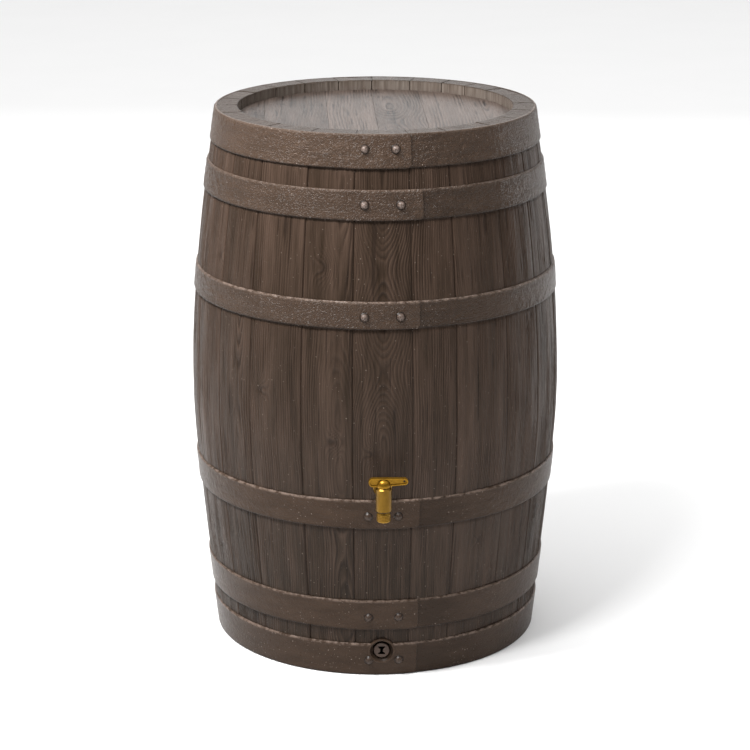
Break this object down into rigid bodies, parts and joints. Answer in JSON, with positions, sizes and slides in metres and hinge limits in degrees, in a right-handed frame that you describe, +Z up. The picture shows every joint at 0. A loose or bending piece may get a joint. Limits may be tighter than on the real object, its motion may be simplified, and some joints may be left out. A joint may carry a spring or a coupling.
{
  "type": "rain barrel",
  "caption": "Moulded rain barrel in the form of a wine cask, with stave relief, riveted hoops, a lift-off lid, a brass tap and a screwed drain plug.",
  "frame": {"origin": "centre of the foot ring, on the ground under the barrel's axis", "axes": "+Z up along the barrel's axis, -Y to the front, where the tap and the drain plug are"},
  "size_m": [0.6564, 0.7167, 0.96],
  "materials": {
    "stave_plastic": "satin",
    "lid_plastic": "satin",
    "hoop_plastic": "satin",
    "rivet_plastic": "satin",
    "insert_brass": "satin",
    "seal_rubber": "matte",
    "tap_brass": "satin",
    "handle_brass": "satin",
    "rotor_plastic": "gloss",
    "plug_plastic": "satin"
  },
  "bodies": {
    "barrel": {"barrel_shell": "stave_plastic", "head_hoop": "hoop_plastic", "head_hoop_rivets": "rivet_plastic", "upper_quarter_hoop": "hoop_plastic", "upper_quarter_hoop_rivets": "rivet_plastic", "upper_bilge_hoop": "hoop_plastic", "upper_bilge_hoop_rivets": "rivet_plastic", "lower_bilge_hoop": "hoop_plastic", "lower_bilge_hoop_rivets": "rivet_plastic", "lower_quarter_hoop": "hoop_plastic", "lower_quarter_hoop_rivets": "rivet_plastic", "foot_hoop": "hoop_plastic", "foot_hoop_rivets": "rivet_plastic", "tap_insert": "insert_brass", "drain_insert": "insert_brass", "tap_washer": "seal_rubber", "tap_spout_washer": "seal_rubber", "tap_body": "tap_brass", "tap_spout": "tap_brass"},
    "lid": {"lid": "lid_plastic"},
    "tap_valve": {"tap_handle": "handle_brass", "tap_rotor": "rotor_plastic", "tap_rotor_seal_lower": "seal_rubber", "tap_rotor_seal_upper": "seal_rubber"},
    "drain_washer": {"drain_washer": "seal_rubber"},
    "drain_plug": {"drain_plug": "plug_plastic"}
  },
  "joints": [
    {"name": "lid_lift", "type": "slide", "parent": "barrel", "child": "lid", "axis": [0, 0, 1], "range_m": [0, 0.15]},
    {"name": "tap_handle_turn", "type": "hinge", "parent": "barrel", "child": "tap_valve", "pos_m": [0, -0.375, 0.36], "axis": [0, 0, -1], "range_deg": [0, 90]},
    {"name": "drain_plug_travel", "type": "slide", "parent": "barrel", "child": "drain_washer", "axis": [0, -1, 0], "range_m": [0, 0.00907]},
    {"name": "drain_plug_turn", "type": "hinge", "parent": "drain_washer", "child": "drain_plug", "pos_m": [0, -0.285, 0.047], "axis": [0, -1, 0], "range_deg": [0, 1800]}
  ],
  "couplings": [
    {"joint": "drain_plug_turn", "follows": "drain_plug_travel", "rad_per_m": 3463.7}
  ]
}
